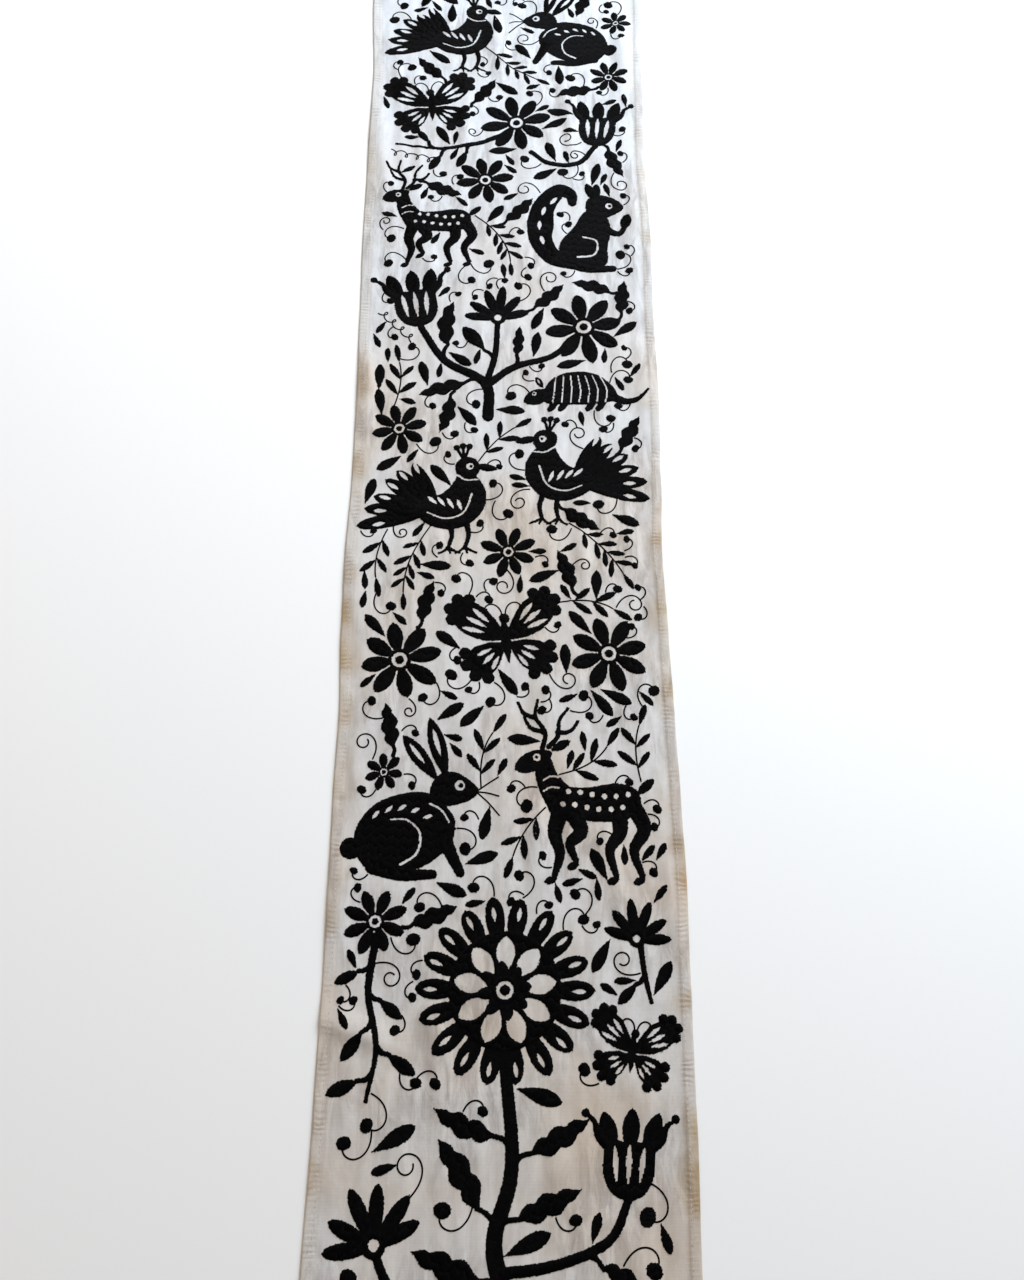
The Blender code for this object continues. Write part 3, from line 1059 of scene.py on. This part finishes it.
def linear(colour):
    """An sRGB hex colour as the linear values that a shader works with."""
    parts = [int(colour[i : i + 2], 16) / 255 for i in (1, 3, 5)]
    return (*(p / 12.92 if p <= 0.04045 else ((p + 0.055) / 1.055) ** 2.4 for p in parts), 1.0)


def add(tree, kind, inputs, **settings):
    """Adds a node with its settings, then links or sets its inputs by name or by place."""
    node = tree.nodes.new(kind)
    for name, value in settings.items():
        setattr(node, name, value)
    for key, value in inputs.items():
        if isinstance(value, bpy.types.NodeSocket):
            tree.links.new(value, node.inputs[key])
        else:
            node.inputs[key].default_value = value
    return node


def new_material(name):
    material = bpy.data.materials.new(name)
    material.use_nodes = True
    return material, material.node_tree, material.node_tree.nodes["Principled BSDF"]


# A wave texture of scale 1 repeats every tenth of pi metres.
WAVE = math.pi / 10

# The hem by millimetres in from the folded edge: its tint and how much its stitches gather it there. The fold
# is tinted a little warm, and a painted shade lies in the step beside its seam.
HemTint = namedtuple("HemTint", "inward tint gathered")
HEM_TINTS = (
    HemTint(0, "#FBF6EA", 0.1),
    HemTint(2.4, "#FFFCF8", 0.7),
    HemTint(9, "#FBF8F4", 1.0),
    HemTint(11.4, "#F1ECE6", 0.8),
    HemTint(16, "#FFFFFF", 0.0),
)
HEM_TINTS_REACH = 20


def bleached_cotton():
    """Bleached plain-weave cotton, washed and ironed once: matt, creased, and not evenly white."""
    material, tree, shader = new_material("bleached_plain_weave_cotton")
    place = add(tree, "ShaderNodeTexCoord", {}).outputs["Object"]
    # Painted light: the white is cool towards the far end and warm towards the near end, standing in for the cool
    # window beyond the far end and the warm room light by the near end.
    parts = add(tree, "ShaderNodeSeparateXYZ", {"Vector": place})
    near = {"Value": parts.outputs["Y"], "From Min": 0.85, "From Max": -0.25}
    near = add(tree, "ShaderNodeMapRange", near).outputs["Result"]
    white = {"Factor": near, 6: linear("#CED1D4"), 7: linear("#D5D1CD")}
    white = add(tree, "ShaderNodeMix", white, data_type="RGBA")
    # Patches two hands wide where the cloth has yellowed a little.
    patches = add(tree, "ShaderNodeTexNoise", {"Vector": place, "Scale": 5.0, "Detail": 3.0})
    yellowed = add(
        tree, "ShaderNodeMapRange", {"Value": patches.outputs["Fac"], "From Min": 0.42, "From Max": 0.68}
    )
    yellowed = {0: yellowed.outputs["Result"], 1: near}
    yellowed = add(tree, "ShaderNodeMath", yellowed, operation="MULTIPLY")
    patched = {"Factor": yellowed.outputs["Value"], 6: white.outputs[2], 7: linear("#CBBCAC")}
    ground = add(tree, "ShaderNodeMix", patched, data_type="RGBA")
    # Fine creases that washing leaves, some 10 mm apart and running along the cloth, deeper in some places. Their
    # valleys are painted a little darker and warmer: painted shade in the creases.
    stretched = add(tree, "ShaderNodeMapping", {"Vector": place, "Scale": (95.0, 24.0, 1.0)})
    creases = {"Vector": stretched.outputs["Vector"], "Scale": 1.0, "Detail": 4.0, "Distortion": 0.7}
    creases = add(tree, "ShaderNodeTexNoise", {**creases, "Roughness": 0.58}).outputs["Fac"]
    where = add(tree, "ShaderNodeTexNoise", {"Vector": place, "Scale": 9.0, "Detail": 1.0})
    where = {"Value": where.outputs["Fac"], "From Min": 0.42, "From Max": 0.62, "To Min": 0.3}
    where = add(tree, "ShaderNodeMapRange", where).outputs["Result"]
    painted_crease_shade = {"Value": creases, "From Min": 0.6, "From Max": 0.36, "To Max": 0.85}
    painted_crease_shade = add(tree, "ShaderNodeMapRange", painted_crease_shade).outputs["Result"]
    painted_crease_shade = add(tree, "ShaderNodeMath", {0: painted_crease_shade, 1: where}, operation="MULTIPLY").outputs["Value"]
    # Painted shade: the crease valleys are darkened and warmed in the cloth's colour.
    light_and_shade_tone = {"Factor": painted_crease_shade, 6: ground.outputs[2], 7: linear("#D1CDCB")}
    ground = add(tree, "ShaderNodeMix", light_and_shade_tone, data_type="RGBA", blend_type="MULTIPLY")
    hem = add(tree, "ShaderNodeAttribute", {}, attribute_name="hem").outputs["Vector"]
    hem = add(tree, "ShaderNodeSeparateXYZ", {"Vector": hem})
    share = add(tree, "ShaderNodeMath", {0: hem.outputs["X"], 1: HEM_TINTS_REACH}, operation="DIVIDE")
    tints = add(tree, "ShaderNodeValToRGB", {"Fac": share.outputs["Value"]})
    stops = tints.color_ramp.elements
    for _ in HEM_TINTS[2:]:
        stops.new(0.5)
    for stop, row in zip(stops, HEM_TINTS):
        stop.position = row.inward / HEM_TINTS_REACH
        stop.color = (*linear(row.tint)[:3], row.gathered)
    hemmed = {"Factor": 1.0, 6: ground.outputs[2], 7: tints.outputs["Color"]}
    ground = add(tree, "ShaderNodeMix", hemmed, data_type="RGBA", blend_type="MULTIPLY")
    # The hem's stitches draw it up in small gathers at their own pace, deeper in some places than in others.
    uneven = add(tree, "ShaderNodeTexNoise", {"Vector": place, "Scale": 40.0, "Detail": 2.0})
    drift = add(tree, "ShaderNodeMath", {0: uneven.outputs["Fac"], 1: 16.0}, operation="MULTIPLY")
    pace = {0: hem.outputs["Y"], 1: 2 * math.pi / HEM_STEP, 2: drift.outputs["Value"]}
    pace = add(tree, "ShaderNodeMath", pace, operation="MULTIPLY_ADD")
    gathers = add(tree, "ShaderNodeMath", {0: pace.outputs["Value"]}, operation="SINE")
    gathers = {"Value": gathers.outputs["Value"], "From Min": -1.0}
    gathers = add(tree, "ShaderNodeMapRange", gathers)
    gathers = {0: gathers.outputs["Result"], 1: tints.outputs["Alpha"]}
    gathers = add(tree, "ShaderNodeMath", gathers, operation="MULTIPLY")
    depth = add(tree, "ShaderNodeTexNoise", {"Vector": place, "Scale": 26.0, "Detail": 1.0})
    depth = add(
        tree, "ShaderNodeMapRange", {"Value": depth.outputs["Fac"], "From Min": 0.42, "From Max": 0.66}
    )
    gathers = {0: gathers.outputs["Value"], 1: depth.outputs["Result"]}
    gathers = add(tree, "ShaderNodeMath", gathers, operation="MULTIPLY").outputs["Value"]
    shade = add(tree, "ShaderNodeMath", {0: gathers, 1: 0.3}, operation="MULTIPLY")
    shaded = {"Factor": shade.outputs["Value"], 6: ground.outputs[2], 7: linear("#BBA99F")}
    ground = add(tree, "ShaderNodeMix", shaded, data_type="RGBA", blend_type="MULTIPLY")
    # The edges are tinted tan in blotches, most by the near end.
    beside = {"Value": hem.outputs["X"], "From Min": 34.0, "From Max": 2.0}
    beside = add(tree, "ShaderNodeMapRange", beside)
    blotches = add(tree, "ShaderNodeTexNoise", {"Vector": place, "Scale": 13.0, "Detail": 2.0})
    blotches = {"Value": blotches.outputs["Fac"], "From Min": 0.52, "From Max": 0.68}
    blotches = add(tree, "ShaderNodeMapRange", blotches)
    tan = {0: beside.outputs["Result"], 1: near}
    tan = add(tree, "ShaderNodeMath", tan, operation="MULTIPLY")
    tan = {0: tan.outputs["Value"], 1: blotches.outputs["Result"]}
    tan = add(tree, "ShaderNodeMath", tan, operation="MULTIPLY")
    tanned = {"Factor": tan.outputs["Value"], 6: ground.outputs[2], 7: linear("#DDCAAA")}
    ground = add(tree, "ShaderNodeMix", tanned, data_type="RGBA", blend_type="MULTIPLY")
    # Slubs and fuzz in the yarn, as faint specks of tone.
    slubs = add(tree, "ShaderNodeTexNoise", {"Vector": place, "Scale": 160.0, "Detail": 4.0, "Roughness": 0.7})
    specks = {"Value": slubs.outputs["Fac"], "From Min": 0.3, "From Max": 0.7, "To Min": 0.95, "To Max": 1.04}
    specks = add(tree, "ShaderNodeMapRange", specks)
    speckled = {"Factor": 1.0, 6: ground.outputs[2], 7: specks.outputs["Result"]}
    speckled = add(tree, "ShaderNodeMix", speckled, data_type="RGBA", blend_type="MULTIPLY")
    tree.links.new(speckled.outputs[2], shader.inputs["Base Color"])
    # Yarns 0.5 mm apart are drawn 1.3 mm apart, so that the weave shows at all.
    yarns = {"Vector": place, "Scale": WAVE / (1.3 * MM), "Distortion": 1.6, "Detail": 2.0}
    across = add(tree, "ShaderNodeTexWave", yarns, bands_direction="X").outputs["Fac"]
    along = add(tree, "ShaderNodeTexWave", yarns, bands_direction="Y").outputs["Fac"]
    weave = add(tree, "ShaderNodeMath", {0: across, 1: along}, operation="MULTIPLY")
    weave = add(tree, "ShaderNodeBump", {"Strength": 0.4, "Distance": 0.2 * MM, "Height": weave.outputs["Value"]})
    creases = add(tree, "ShaderNodeMath", {0: creases, 1: where}, operation="MULTIPLY")
    creased = {"Strength": 0.45, "Distance": 2.2 * MM, "Height": creases.outputs["Value"]}
    creased = add(tree, "ShaderNodeBump", {**creased, "Normal": weave.outputs["Normal"]})
    gathered = {"Strength": 0.6, "Distance": 0.4 * MM, "Height": gathers}
    gathered = add(tree, "ShaderNodeBump", {**gathered, "Normal": creased.outputs["Normal"]})
    tree.links.new(gathered.outputs["Normal"], shader.inputs["Normal"])
    shader.inputs["Roughness"].default_value = 0.92
    shader.inputs["Sheen Weight"].default_value = 0.1
    shader.inputs["Sheen Roughness"].default_value = 0.6
    shader.inputs["Specular IOR Level"].default_value = 0.2
    return material


# How much of a thread one turn of its strands takes, in millimetres.
STRAND_TURN = 1.6


def cotton_floss(name, deep, light_and_shade_tone):
    """Six-strand cotton floss: soft and matt, with its strands twisted round the thread."""
    material, tree, shader = new_material(name)
    sewn = add(tree, "ShaderNodeAttribute", {}, attribute_name="sewn").outputs["Vector"]
    parts = add(tree, "ShaderNodeSeparateXYZ", {"Vector": sewn})
    # Each thread has a tone of its own, as some lie flatter and catch more light.
    tone = add(tree, "ShaderNodeMapRange", {"Value": parts.outputs["Z"], "From Min": 0.35})
    colour = add(
        tree, "ShaderNodeMix", {"Factor": tone.outputs["Result"], 6: linear(deep), 7: linear(light_and_shade_tone)}, data_type="RGBA"
    )
    tree.links.new(colour.outputs[2], shader.inputs["Base Color"])
    slant = {0: parts.outputs["X"], 1: 0.5, 2: parts.outputs["Y"]}
    slant = add(tree, "ShaderNodeMath", slant, operation="MULTIPLY_ADD")
    turn = {0: slant.outputs["Value"], 1: 2 * math.pi / STRAND_TURN}
    turn = add(tree, "ShaderNodeMath", turn, operation="MULTIPLY")
    twist = add(tree, "ShaderNodeMath", {0: turn.outputs["Value"]}, operation="SINE")
    bump = add(tree, "ShaderNodeBump", {"Strength": 0.6, "Distance": 0.12 * MM, "Height": twist.outputs["Value"]})
    tree.links.new(bump.outputs["Normal"], shader.inputs["Normal"])
    shader.inputs["Roughness"].default_value = 0.72
    shader.inputs["Specular IOR Level"].default_value = 0.05
    return material


def pale_ground():
    """A plain matt white table or floor."""
    material, tree, shader = new_material("matt_white_ground")
    shader.inputs["Base Color"].default_value = linear("#FAF9F7")
    shader.inputs["Roughness"].default_value = 0.95
    shader.inputs["Specular IOR Level"].default_value = 0.1
    return material


def finish_piece(piece, material):
    piece.data.materials.clear()
    piece.data.materials.append(material)
    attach(piece, "root")


def make_runner():
    embroider()
    cloth = Cloth()
    sheet = cloth.mesh("hemmed_cloth")
    finish_piece(sheet, bleached_cotton())
    black = cotton_floss("black_cotton_floss", "#030202", "#080607")
    sewn = []
    groups = {}
    for number, fill in enumerate(fills):
        if fill:
            starts, ends = satin(number, fill)
            group = groups.setdefault(fill.group, ([], []))
            group[0].extend(starts)
            group[1].extend(ends)
    for group, (starts, ends) in groups.items():
        piece = thread_mesh("sewn_" + group, cloth, starts, ends, FLOSS_WIDTH, FLOSS_HEIGHT)
        finish_piece(piece, black)
        sewn.append(piece)
    starts, ends = [], []
    for way in lines:
        more_starts, more_ends = backstitch(way)
        starts.extend(more_starts)
        ends.extend(more_ends)
    outline = thread_mesh("sewn_lines", cloth, starts, ends, LINE_WIDTH, FLOSS_HEIGHT)
    finish_piece(outline, black)
    hem = thread_mesh("hem_stitches", cloth, *hem_stitches(), 0.6, 0.22)
    finish_piece(hem, cotton_floss("white_sewing_cotton", "#CFCAC4", "#BFB7AE"))
    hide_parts("runner_cloth")
    return sheet, [*sewn, outline, hem]


def area_light(name, place, aim, size, watts, colour):
    light = bpy.data.lights.new(name, "AREA")
    light.shape = "SQUARE"
    light.size = size
    light.energy = watts
    light.color = linear(colour)[:3]
    lamp = bpy.data.objects.new(name, light)
    bpy.context.scene.collection.objects.link(lamp)
    lamp.location = place
    lamp.rotation_euler = (Vector(aim) - Vector(place)).to_track_quat("-Z", "Y").to_euler()


def studio():
    """A pale ground, a low cool window beyond the far right corner, the soft warm light of a room, and the camera."""
    bpy.ops.mesh.primitive_plane_add(size=14, location=(0, 0, 0))
    ground = bpy.context.object
    ground.name = "ground"
    ground.data.materials.append(pale_ground())
    area_light("window_light", (1.85, 2.35, 1.42), (0, -0.05, 0), 1.9, 256, "#E8F3FF")
    area_light("wall_light", (-2.4, 0.5, 1.5), (0, -0.1, 0), 2.6, 20, "#FFF4E6")
    world = bpy.data.worlds.new("soft_room")
    world.use_nodes = True
    world.node_tree.nodes["Background"].inputs["Color"].default_value = linear("#FFF2E4")
    world.node_tree.nodes["Background"].inputs["Strength"].default_value = 0.255
    bpy.context.scene.world = world
    camera = bpy.data.cameras.new("camera")
    camera.sensor_width = 36.0
    camera.lens = 28.86
    eye = bpy.data.objects.new("camera", camera)
    bpy.context.scene.collection.objects.link(eye)
    eye.location = (0.007, -0.639, 1.172)
    eye.rotation_euler = (math.radians(19.4), 0, 0)
    bpy.context.scene.camera = eye
    bpy.context.scene.view_settings.view_transform = "Standard"
    return ground


bpy.ops.object.select_all(action="DESELECT")
sheet, sewn = make_runner()
ground = studio()
